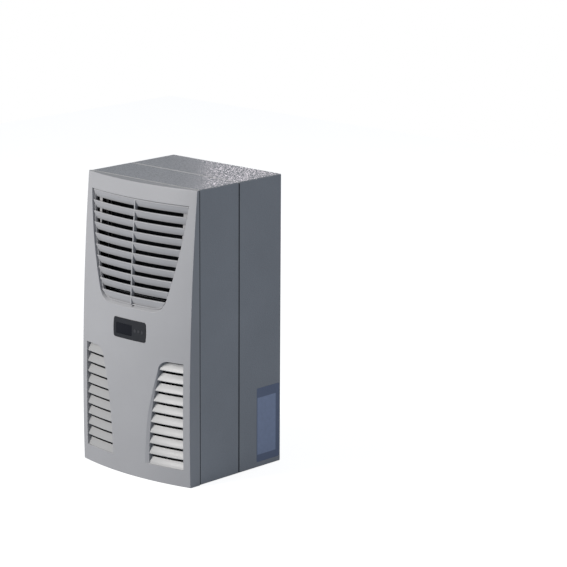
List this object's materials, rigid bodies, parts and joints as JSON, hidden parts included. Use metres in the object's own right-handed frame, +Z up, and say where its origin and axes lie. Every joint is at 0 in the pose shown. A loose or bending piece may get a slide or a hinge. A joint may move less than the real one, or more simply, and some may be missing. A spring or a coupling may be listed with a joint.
{
  "type": "enclosure cooling unit",
  "caption": "Wall-mounted enclosure cooling unit: sheet-steel tray and hood, bowed louvred front moulding, pull-out grille, display, full refrigerant circuit inside.",
  "frame": {"origin": "on the floor plane, under the middle of the bounding box", "axes": "+Z up, -Y out of the front, +Y into the wall, +X to the right seen from the front"},
  "size_m": [0.28, 0.2625, 0.55],
  "materials": {
    "casing_paint": "textured powder paint",
    "fascia_plastic": "satin",
    "foam_black": "closed-cell foam",
    "foam_light": "closed-cell foam",
    "zinc": "zinc plated",
    "galvanised": "galvanised",
    "rubber_black": "matt",
    "terminal_green": "gloss",
    "fan_black": "satin",
    "motor": "wound copper and steel",
    "fin_aluminium": "bright",
    "copper": "drawn copper",
    "tray_plastic": "matt",
    "compressor_black": "gloss paint",
    "circuit_board": "solder mask",
    "capacitor_can": "drawn",
    "lead_black": "matt",
    "label_blue": "printed film, bare",
    "bezel_plastic": "satin",
    "screen": "gloss",
    "key_plastic": "satin"
  },
  "bodies": {
    "chassis": {"rear_tray": "casing_paint", "rear_gasket": "foam_black", "rivet_nuts": "zinc", "foam_liner": "foam_light", "partition_plate": "galvanised", "base_plate": "galvanised", "pipe_grommets": "rubber_black", "power_terminals": "terminal_green", "inlet_sensor": "zinc", "evaporator_fan_frame": "fan_black", "evaporator_fan_motor": "motor", "evaporator_fan_screws": "zinc", "evaporator_brackets": "galvanised", "evaporator_fins": "fin_aluminium", "evaporator_tubes": "copper", "drip_tray": "tray_plastic", "condenser_brackets": "galvanised", "condenser_fins": "fin_aluminium", "condenser_tubes": "copper", "fan_shroud": "galvanised", "condenser_fan_frame": "fan_black", "condenser_fan_motor": "motor", "condenser_fan_screws": "zinc", "compressor": "compressor_black", "compressor_grommets": "rubber_black", "compressor_fixings": "zinc", "terminal_cover": "tray_plastic", "suction_line": "copper", "discharge_line": "copper", "liquid_line": "copper", "filter_drier": "copper", "capillary_tube": "copper", "control_box": "galvanised", "control_box_cover": "galvanised", "control_board": "circuit_board", "run_capacitor": "capacitor_can", "compressor_lead": "lead_black", "fan_lead": "lead_black", "rating_plate": "label_blue"},
    "evaporator_wheel": {"evaporator_fan_rotor": "fan_black"},
    "condenser_wheel": {"condenser_fan_rotor": "fan_black"},
    "hood": {"hood_shell": "casing_paint", "hood_seal": "foam_black", "hood_screws": "zinc", "front_fascia": "fascia_plastic", "fascia_screws": "zinc", "display_bezel": "bezel_plastic", "display_window": "screen", "display_board": "circuit_board"},
    "key_set_cap": {"key_set": "key_plastic"},
    "key_up_cap": {"key_up": "key_plastic"},
    "key_down_cap": {"key_down": "key_plastic"},
    "grille": {"louvre_grille": "fascia_plastic"}
  },
  "joints": [
    {"name": "hood_pull", "type": "slide", "parent": "chassis", "child": "hood", "axis": [0, -1, 0], "range_m": [0, 0.15]},
    {"name": "grille_pull", "type": "slide", "parent": "hood", "child": "grille", "axis": [0, -1, 0], "range_m": [0, 0.06]},
    {"name": "evaporator_fan_spin", "type": "hinge", "parent": "chassis", "child": "evaporator_wheel", "pos_m": [0, 0.1083, 0.452], "axis": [0, 1, 0], "continuous": true},
    {"name": "condenser_fan_spin", "type": "hinge", "parent": "chassis", "child": "condenser_wheel", "pos_m": [0, -0.0087, 0.416], "axis": [0, -1, 0], "continuous": true},
    {"name": "key_set_press", "type": "slide", "parent": "hood", "child": "key_set_cap", "axis": [0, 1, 0], "range_m": [0, 0.0005], "stiffness_N_per_m": 900},
    {"name": "key_up_press", "type": "slide", "parent": "hood", "child": "key_up_cap", "axis": [0, 1, 0], "range_m": [0, 0.0005], "stiffness_N_per_m": 900},
    {"name": "key_down_press", "type": "slide", "parent": "hood", "child": "key_down_cap", "axis": [0, 1, 0], "range_m": [0, 0.0005], "stiffness_N_per_m": 900}
  ]
}
